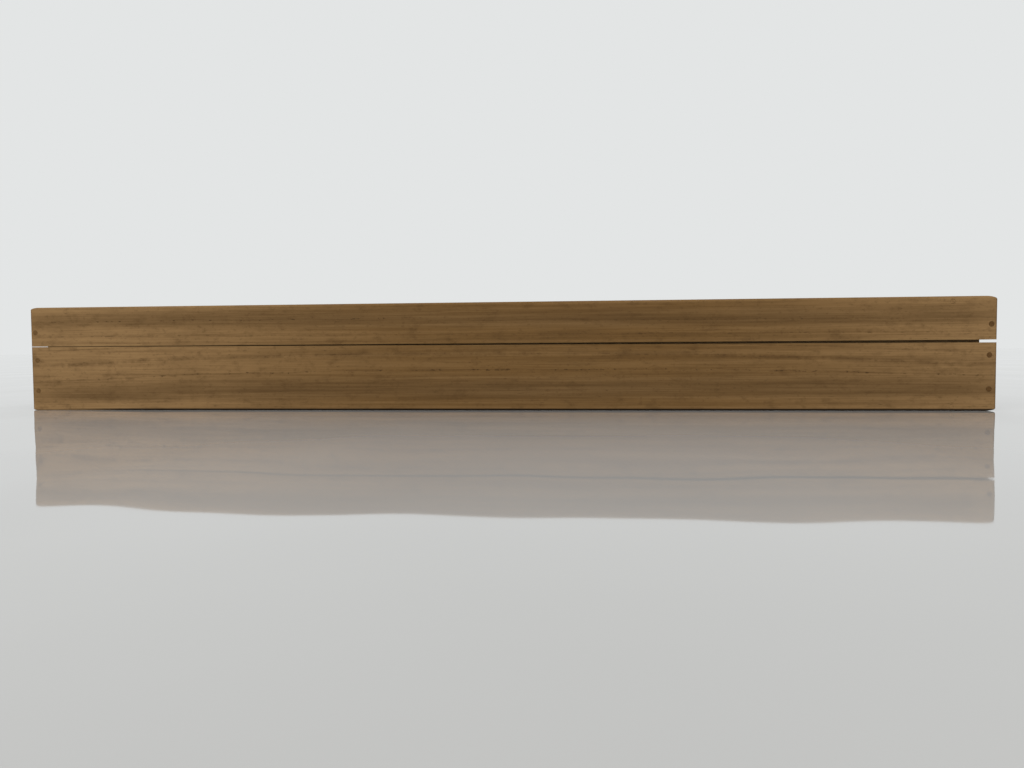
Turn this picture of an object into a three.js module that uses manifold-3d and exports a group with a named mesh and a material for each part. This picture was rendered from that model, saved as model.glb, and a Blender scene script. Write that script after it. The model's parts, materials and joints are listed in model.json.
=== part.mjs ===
// Hanging scroll box in pale, light wood: a long tray whose lid drops over an inner lip.
// Millimetres, +Z up. The origin is the middle of the underside, the length runs along X
// and the front faces -Y.

import * as THREE from "three";
import { mergeVertices } from "three/addons/utils/BufferGeometryUtils.js";
import Module from "manifold-3d";

// The outside
const boxLength = 600;
const boxWidth = 72;
const baseHeight = 41.3; // at the left end, where the rim is highest
const rimFall = 1.4; // how far the base's rim drops towards the right end
const lidHeight = 25.4;
const lidGap = 0.3; // between the lid and the highest point of the rim

// The boards
const sideBoard = 6.5; // thickness of the front and back boards
const endBoard = 6.5;
const rabbetDepth = 2; // step in a side board that takes an end board
const bottomBoard = 6;
const topBoard = 6;
const glueLine = 0.08; // between two glued boards

// The lip inside the rim, mitred at its corners
const lipBoard = 2.5;
const lipRise = 9.2; // above the highest point of the rim
const lipRelief = 0.4; // planed off its outside, so that the lid slides
const lipRound = 0.9;

// The rests that carry the ends of the scroll's roller
const restThickness = 8;
const restHeight = 26;
const restInset = 22; // from the end of the inside to a rest
const restPlay = 0.3; // between a rest and the lip boards beside it
const restRound = 2;
const notchWidth = 24;
const notchStraight = 1; // straight sides above the round bottom of the notch

// The wooden pegs
const cornerPegRadius = 1.5;
const cornerPegLength = 18;
const baseCornerPegHeights = [12.7, 32.6];
const baseCornerPegInset = 4.3; // from the end of the box
const lidCornerPegHeights = [9];
const lidCornerPegInset = 3.4;
const boardPegRadius = 1.3;
const boardPegLength = 16;
const bottomPegHeight = 2.4; // above the underside
const topPegDepth = 3; // below the top
const boardPegInset = 25; // from the end of the box to the first of a row
const boardPegCount = 2; // along each side board
const endPegSpread = 30; // between the two in an end board
const pegTaper = 0.25; // the radius lost at the inner end
const pegChamfer = 0.6;
const pegFit = 0.12; // between a peg and its hole

// The eased and worn edges: how far each quarter of an ellipse runs along and up
const square = { along: 0, up: 0 };
const cornerEase = { along: 1.5, up: 1.5 };
const topEase = { along: 1.6, up: 1.6 };
const bottomEase = { along: 0.7, up: 0.7 };
const lidLeftWear = { along: 5.5, up: 2.5 };
const lidRightWear = { along: 6.4, up: 2.6 };
const baseLeftWear = { along: 2.6, up: 2.2 };
const baseRightWear = { along: 6.4, up: 1.9 };

const arcSteps = 6;
const pegSides = 14;
const overcut = 1; // how far a cutting shape reaches past the wood

const insideLength = boxLength - 2 * (endBoard + glueLine);
const insideWidth = boxWidth - 2 * (sideBoard + glueLine);
const tongue = sideBoard - rabbetDepth;
const floorLevel = bottomBoard + glueLine;

const wasm = await Module();
wasm.setup();

// A closed geometry as a solid that can be joined and cut.
function solidOf(geometry) {
  geometry.deleteAttribute("normal");
  geometry.deleteAttribute("uv");
  const merged = mergeVertices(geometry, 1e-4);
  return new wasm.Manifold(
    new wasm.Mesh({
      numProp: 3,
      vertProperties: merged.attributes.position.array,
      triVerts: new Uint32Array(merged.index.array),
    }),
  );
}

function geometryOf(solid) {
  const { numProp, vertProperties, triVerts } = solid.getMesh();
  const positions = new THREE.BufferAttribute(new Float32Array(vertProperties), numProp);
  const shared = new THREE.BufferGeometry().setAttribute("position", positions);
  shared.setIndex(new THREE.BufferAttribute(triVerts, 1));
  const geometry = shared.toNonIndexed();
  geometry.computeVertexNormals();
  return geometry;
}

// An outline drawn in XY, XZ or YZ becomes a prism along the third axis.
const X = new THREE.Vector3(1, 0, 0);
const Y = new THREE.Vector3(0, 1, 0);
const Z = new THREE.Vector3(0, 0, 1);
const frames = {
  plan: new THREE.Matrix4(),
  front: new THREE.Matrix4().makeBasis(X, Z, Y.clone().negate()),
  end: new THREE.Matrix4().makeBasis(Y, Z, X),
};

function prism(frame, points, start, depth) {
  const shape = new THREE.Shape(points);
  const geometry = new THREE.ExtrudeGeometry(shape, { depth, bevelEnabled: false });
  return solidOf(geometry.translate(0, 0, start).applyMatrix4(frames[frame]));
}

function polygon(...pairs) {
  return pairs.map(([x, y]) => new THREE.Vector2(x, y));
}

// One corner of an outline, square or eased by a quarter of an ellipse that starts at a turn.
function eased(x, y, ease, turn) {
  if (ease.along === 0) return [new THREE.Vector2(x, y)];
  const towardsX = turn < Math.PI / 2 || turn >= 1.5 * Math.PI ? -1 : 1;
  const towardsY = turn < Math.PI ? -1 : 1;
  const centreX = x + towardsX * ease.along;
  const centreY = y + towardsY * ease.up;
  const end = turn + Math.PI / 2;
  return new THREE.EllipseCurve(centreX, centreY, ease.along, ease.up, turn, end).getPoints(arcSteps);
}

// A rectangle on the line y = 0, centred on x = 0, whose top may fall towards +x.
function easedRectangle(width, height, eases, fall = 0) {
  const { lowLeft = square, lowRight = square, highRight = square, highLeft = square } = eases;
  return [
    ...eased(-width / 2, 0, lowLeft, Math.PI),
    ...eased(width / 2, 0, lowRight, 1.5 * Math.PI),
    ...eased(width / 2, height - fall, highRight, 0),
    ...eased(-width / 2, height, highLeft, Math.PI / 2),
  ];
}

// The outside form of the base or the lid, as its front, end and plan outlines crossed.
function outerForm(height, frontOutline, endOutline) {
  const corners = { lowLeft: cornerEase, lowRight: cornerEase, highRight: cornerEase, highLeft: cornerEase };
  const planOutline = easedRectangle(boxLength, boxWidth, corners);
  planOutline.forEach((point) => (point.y -= boxWidth / 2));
  return prism("plan", planOutline, 0, height)
    .intersect(prism("front", frontOutline, -boxWidth / 2 - overcut, boxWidth + 2 * overcut))
    .intersect(prism("end", endOutline, -boxLength / 2 - overcut, boxLength + 2 * overcut));
}

const baseForm = outerForm(
  baseHeight,
  easedRectangle(boxLength, baseHeight, { lowLeft: baseLeftWear, lowRight: baseRightWear }, rimFall),
  easedRectangle(boxWidth, baseHeight, { lowLeft: bottomEase, lowRight: bottomEase }),
);
const lidForm = outerForm(
  lidHeight,
  easedRectangle(boxLength, lidHeight, { highLeft: lidLeftWear, highRight: lidRightWear }),
  easedRectangle(boxWidth, lidHeight, { highLeft: topEase, highRight: topEase }),
);

// A front or back board, rabbeted at both ends. side is -1 at the front and 1 at the back.
function sideBoardSolid(side, height) {
  const outside = (side * boxWidth) / 2;
  const step = side * (boxWidth / 2 - tongue);
  const inside = side * (boxWidth / 2 - sideBoard);
  const end = boxLength / 2;
  const shoulder = end - endBoard;
  const outline = polygon(
    [-end, outside],
    [end, outside],
    [end, step],
    [shoulder, step],
    [shoulder, inside],
    [-shoulder, inside],
    [-shoulder, step],
    [-end, step],
  );
  return prism("plan", outline, 0, height);
}

// An end board, let into the rabbets. side is -1 at the left and 1 at the right.
function endBoardSolid(side, height) {
  const outside = (side * boxLength) / 2;
  const inside = side * (boxLength / 2 - endBoard + glueLine);
  const reach = boxWidth / 2 - tongue - glueLine;
  const outline = polygon([inside, -reach], [outside, -reach], [outside, reach], [inside, reach]);
  return prism("plan", outline, 0, height);
}

// A board that lies between the four walls.
function panelSolid(level, thickness) {
  const x = insideLength / 2;
  const y = insideWidth / 2;
  return prism("plan", polygon([-x, -y], [x, -y], [x, y], [-x, y]), level, thickness);
}

// A peg with its head at the origin, driven along -Y. A hole is the same form, a little larger.
function pegSolid(radius, length, fit) {
  const tip = radius - pegTaper + fit;
  const head = fit > 0 ? overcut : 0;
  const profile = polygon(
    [0, -length - fit],
    [tip - pegChamfer, -length - fit],
    [tip, -length + pegChamfer],
    [radius + fit, head],
    [0, head],
  );
  return new THREE.LatheGeometry(profile, pegSides);
}

// The places of all pegs on one half of the box, each with the way that it is driven in.
const turns = { front: Math.PI, back: 0, left: Math.PI / 2, right: -Math.PI / 2 };
const faces = {
  front: (along) => [along, -boxWidth / 2],
  back: (along) => [along, boxWidth / 2],
  left: (along) => [-boxLength / 2, along],
  right: (along) => [boxLength / 2, along],
};

function peg(name, face, along, height, radius, length) {
  const [x, y] = faces[face](along);
  const place = new THREE.Matrix4().makeRotationZ(turns[face]).setPosition(x, y, height);
  return { name, place, radius, length };
}

function cornerPegs(prefix, heights, inset) {
  const found = [];
  for (const face of ["front", "back"])
    for (const [end, sign] of [["left", -1], ["right", 1]])
      heights.forEach((height, i) => {
        const along = sign * (boxLength / 2 - inset);
        const name = `${prefix}_${face}_${end}_${i + 1}`;
        found.push(peg(name, face, along, height, cornerPegRadius, cornerPegLength));
      });
  return found;
}

function boardPegs(prefix, height) {
  const found = [];
  const first = -boxLength / 2 + boardPegInset;
  const pitch = (-2 * first) / (boardPegCount - 1);
  for (const face of ["front", "back"])
    for (let i = 0; i < boardPegCount; i++) {
      const name = `${prefix}_${face}_${i + 1}`;
      found.push(peg(name, face, first + i * pitch, height, boardPegRadius, boardPegLength));
    }
  for (const face of ["left", "right"])
    [-endPegSpread / 2, endPegSpread / 2].forEach((along, i) => {
      found.push(peg(`${prefix}_${face}_${i + 1}`, face, along, height, boardPegRadius, boardPegLength));
    });
  return found;
}

function holesFor(pegs) {
  return pegs
    .map(({ place, radius, length }) => solidOf(pegSolid(radius, length, pegFit).applyMatrix4(place)))
    .reduce((all, hole) => all.add(hole));
}

// A lip board along one wall of the tray, drawn at the front and turned to its wall.
function lipSolid(length, offset) {
  const top = baseHeight + lipRise;
  const outer = -offset;
  const relieved = outer + lipRelief;
  const inner = outer + lipBoard;
  const reliefLevel = baseHeight - rimFall;
  const radius = Math.min(lipRound, (lipBoard - lipRelief) / 2);
  const round = { along: radius, up: radius };
  const profile = [
    ...polygon([outer, floorLevel], [inner, floorLevel]),
    ...eased(inner, top, round, 0),
    ...eased(relieved, top, round, Math.PI / 2),
    ...polygon([relieved, reliefLevel], [outer, reliefLevel]),
  ];
  const half = length / 2 - glueLine;
  const reach = 2 * lipBoard;
  const mitre = polygon(
    [-half - reach, outer - reach],
    [half + reach, outer - reach],
    [half - reach, outer + reach],
    [-half + reach, outer + reach],
  );
  const board = prism("end", profile, -length / 2, length);
  return board.intersect(prism("plan", mitre, 0, top + overcut));
}

// A rest with a round-bottomed notch, drawn as seen from the end of the box.
function restSolid() {
  const half = insideWidth / 2 - lipBoard - restPlay;
  const notch = notchWidth / 2;
  const round = { along: restRound, up: restRound };
  const centre = restHeight - notchStraight;
  const bottom = new THREE.EllipseCurve(0, centre, notch, notch, 0, -Math.PI, true).getPoints(3 * arcSteps);
  const outline = [
    ...polygon([-half, 0], [half, 0]),
    ...eased(half, restHeight, round, 0),
    ...polygon([notch, restHeight]),
    ...bottom,
    ...polygon([-notch, restHeight]),
    ...eased(-half, restHeight, round, Math.PI / 2),
  ];
  return prism("end", outline, -restThickness / 2, restThickness);
}

const finishes = {
  agedWood: { color: 0x8a6c46, roughness: 0.62, metalness: 0 },
  innerWood: { color: 0xb99c70, roughness: 0.7, metalness: 0 },
  pegWood: { color: 0x6b4f30, roughness: 0.6, metalness: 0 },
};

function piece(parent, name, geometry, finish) {
  const mesh = new THREE.Mesh(geometry, new THREE.MeshStandardMaterial(finishes[finish]));
  mesh.name = name;
  parent.add(mesh);
  return mesh;
}

function addPegs(parent, pegs) {
  for (const { name, place, radius, length } of pegs) {
    const geometry = geometryOf(solidOf(pegSolid(radius, length, 0)));
    piece(parent, name, geometry, "pegWood").applyMatrix4(place);
  }
}

function addWalls(parent, prefix, form, height, holes) {
  const walls = {
    front_board: sideBoardSolid(-1, height),
    back_board: sideBoardSolid(1, height),
    left_end: endBoardSolid(-1, height),
    right_end: endBoardSolid(1, height),
  };
  for (const [name, wall] of Object.entries(walls))
    piece(parent, `${prefix}_${name}`, geometryOf(wall.intersect(form).subtract(holes)), "agedWood");
}

function makeBase() {
  const base = new THREE.Group();
  const pegs = [
    ...cornerPegs("base_peg", baseCornerPegHeights, baseCornerPegInset),
    ...boardPegs("bottom_peg", bottomPegHeight),
  ];
  const holes = holesFor(pegs);
  addWalls(base, "base", baseForm, baseHeight, holes);
  piece(base, "bottom_board", geometryOf(panelSolid(0, bottomBoard).subtract(holes)), "innerWood");
  addPegs(base, pegs);

  for (const [name, length, offset, turn] of [
    ["lip_front", insideLength, insideWidth / 2, 0],
    ["lip_right", insideWidth, insideLength / 2, Math.PI / 2],
    ["lip_back", insideLength, insideWidth / 2, Math.PI],
    ["lip_left", insideWidth, insideLength / 2, -Math.PI / 2],
  ])
    piece(base, name, geometryOf(lipSolid(length, offset)), "innerWood").rotation.z = turn;

  const restPlace = insideLength / 2 - lipBoard - restInset - restThickness / 2;
  for (const [name, side] of [["rest_left", -1], ["rest_right", 1]])
    piece(base, name, geometryOf(restSolid()), "innerWood").position.set(side * restPlace, 0, floorLevel);
  return base;
}

function makeLid() {
  const lid = new THREE.Group();
  const pegs = [
    ...cornerPegs("lid_peg", lidCornerPegHeights, lidCornerPegInset),
    ...boardPegs("top_peg", lidHeight - topPegDepth),
  ];
  const holes = holesFor(pegs);
  addWalls(lid, "lid", lidForm, lidHeight, holes);
  const top = panelSolid(lidHeight - topBoard, topBoard).intersect(lidForm).subtract(holes);
  piece(lid, "top_board", geometryOf(top), "agedWood");
  addPegs(lid, pegs);
  lid.position.z = baseHeight + lidGap;
  return lid;
}

const box = new THREE.Group();
box.add(makeBase(), makeLid());

export default box;
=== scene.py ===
"""Dresses the hanging scroll box: aged light wood outside, paler wood inside, small brown pegs."""

import json
import logging
import math
from dataclasses import dataclass
from enum import Enum
from typing import Any, Sequence, Union

import bpy
from mathutils import Matrix, Vector

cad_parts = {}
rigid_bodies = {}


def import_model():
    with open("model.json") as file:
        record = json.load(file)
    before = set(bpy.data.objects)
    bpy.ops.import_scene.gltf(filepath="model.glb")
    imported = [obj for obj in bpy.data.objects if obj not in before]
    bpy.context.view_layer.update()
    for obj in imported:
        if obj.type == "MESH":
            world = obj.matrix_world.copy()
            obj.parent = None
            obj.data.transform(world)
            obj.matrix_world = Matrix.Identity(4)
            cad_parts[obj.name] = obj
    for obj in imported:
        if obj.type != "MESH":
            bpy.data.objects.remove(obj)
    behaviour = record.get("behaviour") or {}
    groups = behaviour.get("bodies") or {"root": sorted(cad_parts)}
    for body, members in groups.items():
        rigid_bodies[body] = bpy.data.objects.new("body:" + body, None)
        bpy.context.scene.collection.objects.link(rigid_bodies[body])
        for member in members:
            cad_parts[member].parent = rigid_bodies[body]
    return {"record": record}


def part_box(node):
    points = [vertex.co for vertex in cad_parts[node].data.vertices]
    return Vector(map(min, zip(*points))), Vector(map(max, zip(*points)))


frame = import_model()

logging.basicConfig(level=logging.INFO, format="%(message)s")
log = logging.getLogger("scroll_box")

Number = Union[int, float]
Colour = tuple[float, float, float]
Point = tuple[float, float, float]


def linear(red: int, green: int, blue: int) -> Colour:
    """Turns a display colour into a linear one.

    Args:
        red: Red from 0 to 255.
        green: Green from 0 to 255.
        blue: Blue from 0 to 255.

    Returns:
        The colour in linear values from 0 to 1.
    """

    def channel(value: int) -> float:
        """Turns one channel."""
        share = value / 255
        return share / 12.92 if share <= 0.04045 else ((share + 0.055) / 1.055) ** 2.4

    return channel(red), channel(green), channel(blue)


class Value:
    """A socket of a shader that takes part in Python expressions."""

    def __init__(self, tree: "NodeTree", socket: bpy.types.NodeSocket) -> None:
        """Keeps the tree and the socket."""
        self.tree = tree
        self.socket = socket

    def math(self, operation: str, *inputs: Any) -> "Value":
        """Adds a Math node.

        Args:
            operation: The node's operation.
            inputs: Numbers or values, in the order of the node's sockets.

        Returns:
            The node's result.
        """
        made = self.tree.node("ShaderNodeMath", {"operation": operation}, dict(enumerate(inputs)))
        return Value(self.tree, made.outputs[0])

    def __add__(self, other: Any) -> "Value":
        """Adds."""
        return self.math("ADD", self, other)

    __radd__ = __add__

    def __mul__(self, other: Any) -> "Value":
        """Multiplies."""
        return self.math("MULTIPLY", self, other)

    __rmul__ = __mul__

    def __sub__(self, other: Any) -> "Value":
        """Subtracts."""
        return self.math("SUBTRACT", self, other)

    def __rsub__(self, other: Any) -> "Value":
        """Subtracts from a number."""
        return self.math("SUBTRACT", other, self)

    def __truediv__(self, other: Any) -> "Value":
        """Divides."""
        return self.math("DIVIDE", self, other)

    def __abs__(self) -> "Value":
        """Drops the sign."""
        return self.math("ABSOLUTE", self)

    def fraction(self) -> "Value":
        """Keeps what is after the point."""
        return self.math("FRACT", self)

    def or_more(self, other: Any) -> "Value":
        """Gives the larger of two."""
        return self.math("MAXIMUM", self, other)

    def ramp(self, start: Number, end: Number) -> "Value":
        """Rises smoothly from 0 at start to 1 at end, where start may be the larger.

        Args:
            start: The value that gives 0.
            end: The value that gives 1.

        Returns:
            The share from 0 to 1.
        """
        low, high = min(start, end), max(start, end)
        at_low, at_high = (0, 1) if start < end else (1, 0)
        made = self.tree.node(
            "ShaderNodeMapRange",
            {"interpolation_type": "SMOOTHSTEP"},
            {0: self, 1: low, 2: high, 3: at_low, 4: at_high},
        )
        return Value(self.tree, made.outputs[0])


class NodeTree:
    """A node tree, with one way to add a node."""

    def __init__(self, tree: bpy.types.NodeTree) -> None:
        """Keeps the tree."""
        self.tree = tree

    def node(self, kind: str, settings: dict[str, Any], inputs: dict[Any, Any]) -> Any:
        """Adds a node.

        Args:
            kind: The node's type.
            settings: The values of its own settings, which are set first.
            inputs: A number, a colour, a socket or a Value for each input, by name or number.

        Returns:
            The new node.
        """
        made = self.tree.nodes.new(kind)
        for key, setting in settings.items():
            setattr(made, key, setting)
        for key, given in inputs.items():
            source = given.socket if isinstance(given, Value) else given
            if isinstance(source, bpy.types.NodeSocket):
                self.tree.links.new(source, made.inputs[key])
            else:
                made.inputs[key].default_value = source
        return made


class ShaderTree(NodeTree):
    """One material's nodes, with short ways to add them."""

    def __init__(self, name: str, specular: float) -> None:
        """Starts a material that has only its output, its shader and its coordinates.

        Args:
            name: The material's name.
            specular: The shader's specular level.
        """
        self.material = bpy.data.materials.new(name)
        self.material.use_nodes = True
        super().__init__(self.material.node_tree)
        self.shader = self.tree.nodes["Principled BSDF"]
        self.shader.inputs["Specular IOR Level"].default_value = specular
        self.place = self.node("ShaderNodeTexCoord", {}, {}).outputs["Object"]
        split = self.node("ShaderNodeSeparateXYZ", {}, {0: self.place})
        self.x, self.y, self.z = (Value(self, socket) for socket in split.outputs)

    def mix(self, share: Any, first: Any, second: Any) -> Any:
        """Mixes two colours.

        Args:
            share: The share of the second, as a number or a Value.
            first: A colour or a socket.
            second: A colour or a socket.

        Returns:
            The socket of the mixed colour.
        """
        colours = {}
        for key, given in ((6, first), (7, second)):
            colours[key] = (*given, 1) if isinstance(given, tuple) else given
        return self.node("ShaderNodeMix", {"data_type": "RGBA"}, {0: share, **colours}).outputs[2]

    def finish(self, colour: Any, roughness: Value, height: Value, depth: float) -> bpy.types.Material:
        """Links colour, roughness and bump to the shader.

        Args:
            colour: The socket of the colour.
            roughness: The roughness.
            height: The relief, from about 0 to 1.
            depth: How deep a relief of 1 is, in metres.

        Returns:
            The finished material.
        """
        bump = self.node("ShaderNodeBump", {}, {"Strength": 1.0, "Distance": depth, "Height": height})
        self.tree.links.new(colour, self.shader.inputs["Base Color"])
        self.tree.links.new(roughness.socket, self.shader.inputs["Roughness"])
        self.tree.links.new(bump.outputs[0], self.shader.inputs["Normal"])
        return self.material


class Grain(Enum):
    """The way that the fibres of a board run."""

    LENGTH = 0
    WIDTH = 1

    def scale(self, run: Number, across: Number) -> Point:
        """Gives a noise scale that is lower along the fibres.

        Args:
            run: Waves per metre along the fibres.
            across: Waves per metre across them.

        Returns:
            Waves per metre along X, Y and Z.
        """
        return (run, across, across) if self is Grain.LENGTH else (across, run, across)


@dataclass(frozen=True)
class Pattern:
    """A noise from 0 to 1, and the values of it between which a mask rises.

    The scale is in waves per metre, along X, Y and Z or else along and across the fibres. The
    shift moves the pattern, so that two of them differ.
    """

    scale: tuple[float, ...]
    detail: float
    roughness: float = 0.5
    shift: float = 0.0
    start: float = 0.0
    end: float = 1.0
    strength: float = 1.0

    def noise(self, tree: ShaderTree, grain: Grain = Grain.LENGTH) -> Value:
        """Adds the noise.

        Args:
            tree: The material's nodes.
            grain: The way of the fibres.

        Returns:
            The noise.
        """
        scale = grain.scale(*self.scale) if len(self.scale) == 2 else self.scale
        shift = (self.shift, self.shift, self.shift)
        place = tree.node("ShaderNodeMapping", {}, {0: tree.place, 1: shift, 3: scale}).outputs[0]
        inputs = {"Vector": place, "Scale": 1.0, "Detail": self.detail, "Roughness": self.roughness}
        return Value(tree, tree.node("ShaderNodeTexNoise", {}, inputs).outputs[0])

    def mask(self, tree: ShaderTree, grain: Grain = Grain.LENGTH) -> Value:
        """Adds the noise as a mask.

        Args:
            tree: The material's nodes.
            grain: The way of the fibres.

        Returns:
            The mask, from 0 to the pattern's strength.
        """
        return self.noise(tree, grain).ramp(self.start, self.end) * self.strength


# Patterns along and across the fibres
FIBRES = Pattern((26, 1700), 2, 0.6)
STREAKS = Pattern((5, 330), 4, 0.62, 3)
PORES = Pattern((210, 1500), 2, 0.5, 7, 0.66, 0.74)
DRIFT = Pattern((2.2, 20), 2, 0.5, 11)
BANDS = Pattern((0.9, 62), 3, 0.5, 5)
CLOUDS = Pattern((22, 60), 5, 0.72, 17)
SPECKS = Pattern((330, 700), 2, 0.6, 23, 0.57, 0.66)

# Patterns along X, Y and Z
SMUDGES = Pattern((80, 80, 150), 4, 0.7, 19, 0.5, 0.74, 0.4)
FLECKS = Pattern((300, 300, 520), 3, 0.7, 41, 0.55, 0.7, 0.28)
BREAKS = Pattern((48, 48, 36), 4, 0.75, 37, 0.36, 0.6)
# Breaks up the painted shade on the arrises at either end of the box.
ARRIS_SHADE_BREAKS = Pattern((140, 140, 90), 3, 0.6, 13, 0.25, 0.6, 0.55)
SLOW_WAVE = Pattern((9, 9, 9), 2, 0.5, 29)
QUICK_WAVE = Pattern((55, 55, 30), 3, 0.6, 31)
END_GRAIN = Pattern((2600, 2600, 2600), 3, 0.6)
END_PATCHES = Pattern((420, 420, 420), 2, 0.5, 3, 0.4, 0.7, 0.5)
RIPPLE = Pattern((7, 3, 5), 2, 0.4)


@dataclass(frozen=True)
class GrowthLine:
    """A growth line or band on the face of a board, as a gentle curve, or a band along an edge, such as a
    painted highlight.

    Its place at the left, in the middle and at the right is a share of the board's height,
    counted from the board's top, and so are its half width and the reach of its specks. It
    lasts from first to last, counted from -1 to 1 along the board.
    """

    left: float
    middle: float
    right: float
    half_width: float
    strength: float
    specks: float = 0.0
    first: float = -1.0
    last: float = 1.0
    fade: float = 0.12
    softness: float = 1.35
    speck_reach: float = 0.022
    speck_core: float = 0.006

    def masks(self, tree: ShaderTree, along: Value, down: Value) -> tuple[Value, Value]:
        """Draws the line.

        Args:
            tree: The material's nodes; not used.
            along: The place along the board, from -1 to 1.
            down: The place across the board, from 0 at its top to 1, already a little wavy.

        Returns:
            The line itself, and the nearness to it that its specks need.
        """
        slope = (self.right - self.left) / 2
        bend = (self.right + self.left) / 2 - self.middle
        distance = abs(down - (along * (along * bend + slope) + self.middle))
        begun = along.ramp(self.first - self.fade, self.first + self.fade)
        kept = begun * along.ramp(self.last + self.fade, self.last - self.fade)
        line = distance.ramp(self.half_width * self.softness, 0) * kept
        return line * self.strength, distance.ramp(self.speck_reach, self.speck_core) * kept * self.specks


@dataclass(frozen=True)
class Tones:
    """The colours of one wood."""

    pale: Colour
    body: Colour
    smoky: Colour
    line: Colour
    speck: Colour


AGED = Tones(
    pale=linear(158, 125, 84),
    body=linear(119, 89, 52),
    smoky=linear(104, 79, 49),
    line=linear(80, 57, 32),
    speck=linear(52, 35, 20),
)
INNER = Tones(
    pale=linear(204, 176, 134),
    body=linear(186, 155, 112),
    smoky=linear(168, 138, 98),
    line=linear(146, 114, 76),
    speck=linear(112, 82, 52),
)


# The colour of the painted shadow along the edge that stands on the table.
CONTACT_SHADOW_TONE = linear(26, 18, 12)

HALF_LENGTH = 0.3
HALF_WIDTH = 0.036
WALL = 0.0065
ROOF = 0.0611  # just above the underside of the lid's top board
BLUR = 0.0002  # half the softness of the border between outside and inside


@dataclass(frozen=True)
class Wood:
    """Light wood with growth bands, fibres, pores and stains, with painted light towards either end of
    the box, painted shade on the arrises there and a painted shadow along the base's bottom edge.

    The numbers after the first four say how strongly each mark of the wood shows.
    """

    name: str
    tones: Tones
    grain: Grain
    # Scales the smudges and flecks, and also the painted light and shade at either end of the box and
    # along its bottom edge.
    weathering_and_painted_light: float = 1.0
    specular: float = 0.08
    cloud: float = 0.36
    smoke: float = 0.45
    cloudy_smoke: float = 0.75
    pale_streak: float = 0.28
    dark_streak: float = 0.42
    even_line: float = 0.25
    streaky_line: float = 0.75
    fibre: float = 0.3
    pore: float = 0.4
    speck: float = 0.6
    relief: float = 0.00012

    def painted_light_at_ends(self, tree: ShaderTree) -> Value:
        """Gives how much painted light makes the wood paler towards either end of the box.

        Args:
            tree: The material's nodes.

        Returns:
            The share of the pale tone.
        """
        darkest = 0.04
        return abs(tree.x - darkest).ramp(0.07, 0.31) * self.weathering_and_painted_light

    def figure(self, tree: ShaderTree) -> tuple[Value, Value, Value]:
        """Draws the growth bands of a board without a drawn face.

        Args:
            tree: The material's nodes.

        Returns:
            The smoky bands, the growth lines and the nearness to lines that have specks.
        """
        rings = 7
        bands = BANDS.noise(tree, self.grain) + DRIFT.noise(tree, self.grain) * 0.25
        lines = abs((bands * rings).fraction() - 0.5)
        return bands.ramp(0.55, 0.8) * 0.7, lines.ramp(0.09, 0.0) * 0.6, lines.ramp(0.04, 0.0) * 0.5

    def inside(self, tree: ShaderTree) -> Value:
        """Gives where a board faces the inside of the box, which has stayed paler.

        Args:
            tree: The material's nodes.

        Returns:
            The share of the inner tone.
        """
        strength = 0.8
        within = tree.z.ramp(ROOF + 2 * BLUR, ROOF) * strength
        for place, half in ((tree.x, HALF_LENGTH), (tree.y, HALF_WIDTH)):
            within = within * abs(place).ramp(half - WALL + BLUR, half - WALL - BLUR / 2)
        return within

    def painted_contact_shadow(self, tree: ShaderTree) -> Value:
        """Gives a painted shadow, a thin dark line on the edge that stands on the table.

        Args:
            tree: The material's nodes.

        Returns:
            The share of the painted shadow, which starts a little way from the left end.
        """
        strength = 0.95 * self.weathering_and_painted_light
        return tree.z.ramp(0.0015, 0.0008) * tree.x.ramp(-0.285, -0.23) * strength

    def painted_arris_shade(self, tree: ShaderTree, colour: Any) -> Any:
        """Darkens the arrises at either end of the box with painted shade, where the rounded arris turns
        away from the light.

        Args:
            tree: The material's nodes.
            colour: The socket of the colour so far.

        Returns:
            The socket of the darkened colour.
        """
        at_end = abs(tree.x).ramp(HALF_LENGTH - 0.0016, HALF_LENGTH - 0.0003)
        return tree.mix(at_end * ARRIS_SHADE_BREAKS.mask(tree) * self.weathering_and_painted_light, colour, self.tones.line)

    def material(self) -> bpy.types.Material:
        """Builds the material.

        Returns:
            The finished material.
        """
        tones, grain = self.tones, self.grain
        tree = ShaderTree(self.name, self.specular)
        fibres, streaks, clouds = (pattern.noise(tree, grain) for pattern in (FIBRES, STREAKS, CLOUDS))
        pores = PORES.mask(tree, grain)
        smoky, lines, near = self.figure(tree)
        specks = SPECKS.mask(tree, grain) * near
        line_marks = lines * BREAKS.mask(tree) * (streaks * self.streaky_line + self.even_line)
        marks = (
            (clouds.ramp(0.36, 0.78) * self.cloud, tones.smoky),
            (smoky * (clouds * self.cloudy_smoke + self.smoke), tones.smoky),
            (streaks.ramp(0.62, 0.3) * self.pale_streak, tones.pale),
            (streaks.ramp(0.5, 0.8) * self.dark_streak, tones.line),
            (line_marks, tones.line),
            (fibres.ramp(0.4, 0.75) * self.fibre, tones.line),
            (SMUDGES.mask(tree) * self.weathering_and_painted_light, tones.line),
            (FLECKS.mask(tree) * self.weathering_and_painted_light, tones.line),
            ((pores * self.pore).or_more(specks * self.speck), tones.speck),
        )
        # Painted light: the wood is paler towards either end of the box.
        colour = tree.mix(self.painted_light_at_ends(tree), tones.body, tones.pale)
        for share, tone in marks:
            colour = tree.mix(share, colour, tone)
        # Painted shade on the rounded arrises at either end of the box.
        colour = self.painted_arris_shade(tree, colour)
        colour = tree.mix(self.inside(tree), colour, INNER.body)
        # Painted shadow along the edge that stands on the table.
        colour = tree.mix(self.painted_contact_shadow(tree), colour, CONTACT_SHADOW_TONE)
        roughness = fibres * 0.18 + smoky * 0.06 + 0.5
        height = fibres * 0.45 + streaks * 0.35 - pores * 0.5 - specks * 0.6 - lines * 0.3
        return tree.finish(colour, roughness, height, self.relief)


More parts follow.
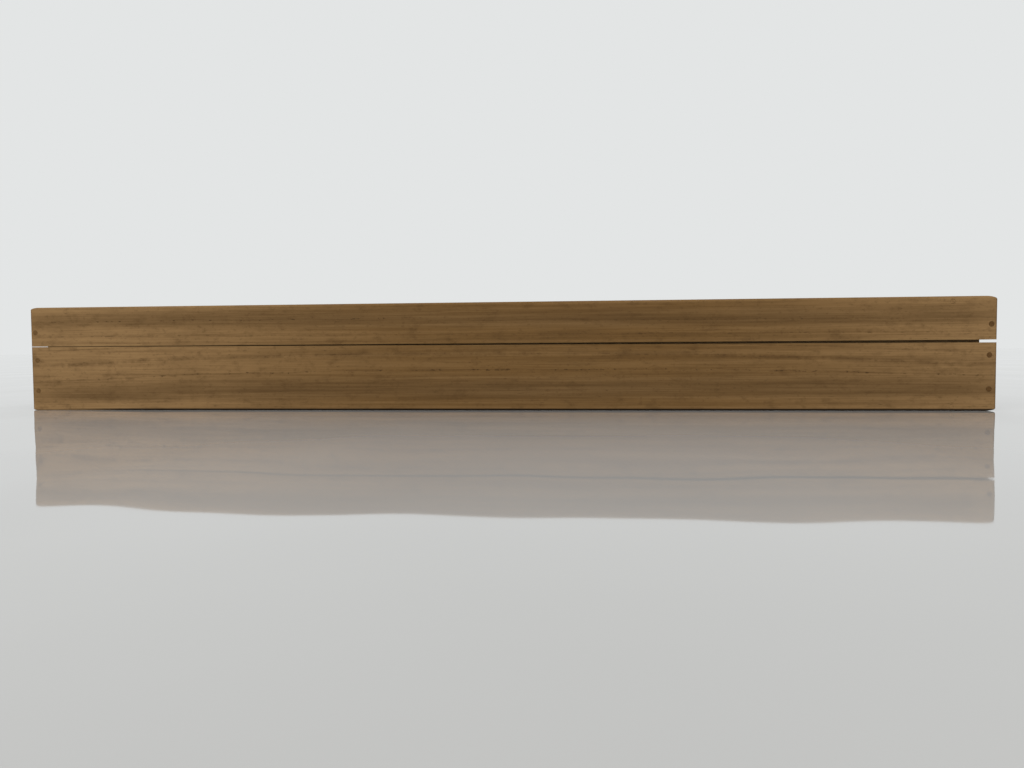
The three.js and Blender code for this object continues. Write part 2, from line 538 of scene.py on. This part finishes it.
@dataclass(frozen=True)
class FaceWood(Wood):
    """The wood of a front board, whose growth lines follow those of the real board, though two lighter
    bands run along an edge instead: a painted highlight with some wear on the lid's top arris, and a
    paler strip along the base's bottom edge.
    """

    bottom: float = 0.0
    height: float = 0.04
    slow_wave: float = 0.07
    quick_wave: float = 0.035
    darker: tuple[GrowthLine, ...] = ()
    lighter: tuple[GrowthLine, ...] = ()
    drawn: tuple[GrowthLine, ...] = ()

    def figure(self, tree: ShaderTree) -> tuple[Value, Value, Value]:
        """Draws the board's own bands and lines.

        Args:
            tree: The material's nodes.

        Returns:
            The smoky bands less the light ones, the growth lines and the nearness to specks.
        """
        along = tree.x / HALF_LENGTH
        slow = (SLOW_WAVE.noise(tree) - 0.5) * self.slow_wave
        quick = (QUICK_WAVE.noise(tree) - 0.5) * self.quick_wave
        down = 1 - (tree.z - self.bottom) / self.height + slow + quick
        dark, _ = self.total(tree, along, down, self.darker)
        light, _ = self.total(tree, along, down, self.lighter)
        lines, near = self.total(tree, along, down, self.drawn)
        return dark - light, lines, near

    def total(
        self, tree: ShaderTree, along: Value, down: Value, growth: Sequence[GrowthLine]
    ) -> tuple[Value, Value]:
        """Adds up the masks of some growth lines.

        Args:
            tree: The material's nodes.
            along: The place along the board, from -1 to 1.
            down: The place across the board, from 0 at its top to 1.
            growth: The growth lines.

        Returns:
            The lines themselves, and the nearness to them.
        """
        lines, near = growth[0].masks(tree, along, down)
        for line in growth[1:]:
            mask, nearness = line.masks(tree, along, down)
            lines, near = lines + mask, near + nearness
        return lines, near


BASE_FACE = FaceWood(
    "aged_wood_base_front",
    AGED,
    Grain.LENGTH,
    bottom=0.0,
    height=0.0406,
    darker=(GrowthLine(0.765, 0.66, 0.68, 0.24, 0.95),),
    lighter=(
        # This band is no growth line: it makes the base paler along its bottom edge.
        GrowthLine(0.93, 0.93, 0.93, 0.14, 0.5),
        GrowthLine(0.12, 0.02, 0.1, 0.2, 0.25),
        GrowthLine(0.45, 0.26, 0.42, 0.12, 0.2),
    ),
    drawn=(
        GrowthLine(0.30, 0.125, 0.34, 0.045, 0.7, 0.5),
        GrowthLine(0.56, 0.37, 0.5, 0.014, 0.55, 1.0),
        GrowthLine(0.06, -0.06, 0.17, 0.016, 0.5, 0.4),
    ),
)
LID_FACE = FaceWood(
    "aged_wood_lid_front",
    AGED,
    Grain.LENGTH,
    bottom=0.0416,
    height=0.0254,
    darker=(GrowthLine(0.32, 0.42, 0.48, 0.3, 0.8),),
    lighter=(
        # This band is no growth line: it paints a highlight, with some wear, along the lid's top arris.
        GrowthLine(0.04, 0.02, 0.06, 0.1, 0.55),
        GrowthLine(0.62, 0.72, 0.7, 0.14, 0.3),
    ),
    drawn=(
        GrowthLine(0.375, 0.37, 0.36, 0.012, 0.3, 1.0, -1.0, -0.1),
        GrowthLine(0.75, 0.78, 0.82, 0.03, 0.45, 0.6),
        GrowthLine(0.4, 0.45, 0.5, 0.018, 0.5, 0.5, 0.0, 1.0),
        GrowthLine(0.9, 0.88, 0.87, 0.014, 0.35, 0.3, -0.2, 1.0),
    ),
)


@dataclass(frozen=True)
class PegWood:
    """Brown end grain of a small peg."""

    name: str
    pale: Colour
    dark: Colour
    specular: float = 0.08
    relief: float = 0.00008

    def material(self) -> bpy.types.Material:
        """Builds the material.

        Returns:
            The finished material.
        """
        tree = ShaderTree(self.name, self.specular)
        grain = END_GRAIN.noise(tree)
        colour = tree.mix(grain.ramp(0.3, 0.7), self.pale, self.dark)
        colour = tree.mix(END_PATCHES.mask(tree), colour, self.dark)
        return tree.finish(colour, grain * 0.2 + 0.55, grain, self.relief)


PEG = PegWood("peg_wood", linear(114, 85, 50), linear(84, 58, 32))
# Paler pegs for the left half of the box.
PALER_LEFT_PEG = PegWood("paler_left_peg_wood", linear(126, 97, 62), linear(102, 75, 44))


class ScrollBox:
    """The box, whose CAD pieces keep their meshes and get their finishes here."""

    def __init__(self) -> None:
        """Builds the shared finishes, and the front faces that their small board pegs share."""
        self.shared = {}
        for slot, tones, weathering_and_painted_light in (("aged_wood", AGED, 1.0), ("inner_wood", INNER, 0.55)):
            for grain in Grain:
                wood = Wood(f"{slot}_{grain.name.lower()}", tones, grain, weathering_and_painted_light)
                self.shared[slot, grain] = wood.material()
        self.peg, self.paler_left_peg = PEG.material(), PALER_LEFT_PEG.material()
        self.faces = {}
        fronts = (("base_front_board", "bottom", BASE_FACE), ("lid_front_board", "top", LID_FACE))
        for board, pegs, face in fronts:
            finish = face.material()
            for name in (board, f"{pegs}_peg_front_1", f"{pegs}_peg_front_2"):
                self.faces[name] = finish

    def finish_of(self, part: dict[str, Any]) -> bpy.types.Material:
        """Finds the finish of a node.

        Args:
            part: The node's entry in the record.

        Returns:
            The finish of its face or slot, with the grain along its board.
        """
        name, slot = part["node"], part["material_slot"]
        if name in self.faces:
            return self.faces[name]
        low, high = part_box(name)
        if slot == "peg_wood":
            return self.paler_left_peg if high[0] < 0 else self.peg
        is_long = high[0] - low[0] > high[1] - low[1]
        return self.shared[slot, Grain.LENGTH if is_long else Grain.WIDTH]

    def dress(self) -> None:
        """Gives each node its finish."""
        for part in frame["record"]["subparts"]:
            finish = self.finish_of(part)
            bpy.data.objects[part["node"]].material_slots[0].material = finish
            log.info("%s is dressed as %s", part["node"], finish.name)


@dataclass(frozen=True)
class Lamp:
    """A soft square lamp that points at the box and shows in no gloss."""

    name: str
    place: Point
    side: float
    watts: float

    def hang(self, aim: Point) -> None:
        """Hangs the lamp.

        Args:
            aim: The point that it lights.
        """
        data = bpy.data.lights.new(self.name, "AREA")
        data.size = self.side
        data.energy = self.watts
        lamp = bpy.data.objects.new(self.name, data)
        lamp.location = self.place
        lamp.rotation_euler = (Vector(aim) - Vector(self.place)).to_track_quat("-Z", "Y").to_euler()
        lamp.visible_glossy = False
        bpy.context.scene.collection.objects.link(lamp)


@dataclass(frozen=True)
class Studio:
    """Floor, backdrop, lamps and the camera."""

    focal_pixels: float = 830.0
    image_width: int = 1024
    sensor: float = 36.0
    near_clip: float = 0.01
    camera_place: Point = (0.0687, -0.5449, 0.0395)
    yaw: float = math.radians(-5.87)
    pitch: float = math.radians(-2.59)
    roll: float = math.radians(-0.41)
    floor_size: float = 12.0
    floor_colour: Colour = linear(184, 184, 182)
    floor_shade: Colour = linear(180, 180, 178)
    floor_specular: float = 1.0
    floor_roughness: float = 0.02
    floor_relief: float = 0.0016
    backdrop_colour: Colour = linear(227, 229, 229)
    daylight: float = 0.5
    aim: Point = (0.0, 0.0, 0.03)
    lamps: tuple[Lamp, ...] = (
        Lamp("key", (-1.3, -1.5, 1.5), 1.4, 26),
        Lamp("fill", (1.5, -1.2, 1.2), 1.4, 13),
        Lamp("back", (0.3, 1.7, 1.6), 1.6, 16),
    )

    def camera(self) -> None:
        """Places the camera at the photograph's viewing angle."""
        forward = Vector((
            math.sin(self.yaw) * math.cos(self.pitch),
            math.cos(self.yaw) * math.cos(self.pitch),
            math.sin(self.pitch),
        ))
        right = Vector((math.cos(self.yaw), -math.sin(self.yaw), 0))
        up = right.cross(forward)
        turned_right = right * math.cos(self.roll) + up * math.sin(self.roll)
        turned_up = up * math.cos(self.roll) - right * math.sin(self.roll)
        data = bpy.data.cameras.new("camera")
        data.sensor_width = self.sensor
        data.lens = self.focal_pixels * self.sensor / self.image_width
        data.clip_start = self.near_clip
        camera = bpy.data.objects.new("camera", data)
        bpy.context.scene.collection.objects.link(camera)
        axes = Matrix((turned_right, turned_up, -forward)).transposed().to_4x4()
        camera.matrix_world = Matrix.Translation(self.camera_place) @ axes
        bpy.context.scene.camera = camera

    def floor(self) -> None:
        """Lays the pale glossy floor."""
        bpy.ops.object.select_all(action="DESELECT")
        bpy.ops.mesh.primitive_plane_add(size=self.floor_size)
        floor = bpy.context.object
        floor.name = "floor"
        tree = ShaderTree("pale_floor", self.floor_specular)
        ripple = RIPPLE.noise(tree)
        tint = tree.mix(ripple.ramp(0.3, 0.7), self.floor_colour, self.floor_shade)
        roughness = ripple * self.floor_roughness + self.floor_roughness
        floor.data.materials.append(tree.finish(tint, roughness, ripple, self.floor_relief))

    def world(self) -> None:
        """Sets soft daylight on the box, and a pale backdrop for the camera and in gloss."""
        world = bpy.data.worlds.new("studio")
        bpy.context.scene.world = world
        world.use_nodes = True
        tree = NodeTree(world.node_tree)
        daylight = tree.node("ShaderNodeBackground", {}, {0: (1, 1, 1, 1), 1: self.daylight})
        backdrop = tree.node("ShaderNodeBackground", {}, {0: (*self.backdrop_colour, 1)})
        rays = tree.node("ShaderNodeLightPath", {}, {}).outputs
        seen = Value(tree, rays["Is Camera Ray"]).or_more(Value(tree, rays["Is Glossy Ray"]))
        both = {0: seen, 1: daylight.outputs[0], 2: backdrop.outputs[0]}
        mixed = tree.node("ShaderNodeMixShader", {}, both)
        world.node_tree.links.new(mixed.outputs[0], world.node_tree.nodes["World Output"].inputs[0])

    def build(self) -> None:
        """Builds the whole studio."""
        self.camera()
        self.floor()
        self.world()
        for lamp in self.lamps:
            lamp.hang(self.aim)
        bpy.context.scene.view_settings.view_transform = "Standard"


def main() -> None:
    """Builds and dresses everything in order."""
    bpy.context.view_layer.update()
    ScrollBox().dress()
    Studio().build()


if __name__ == "__main__":
    main()
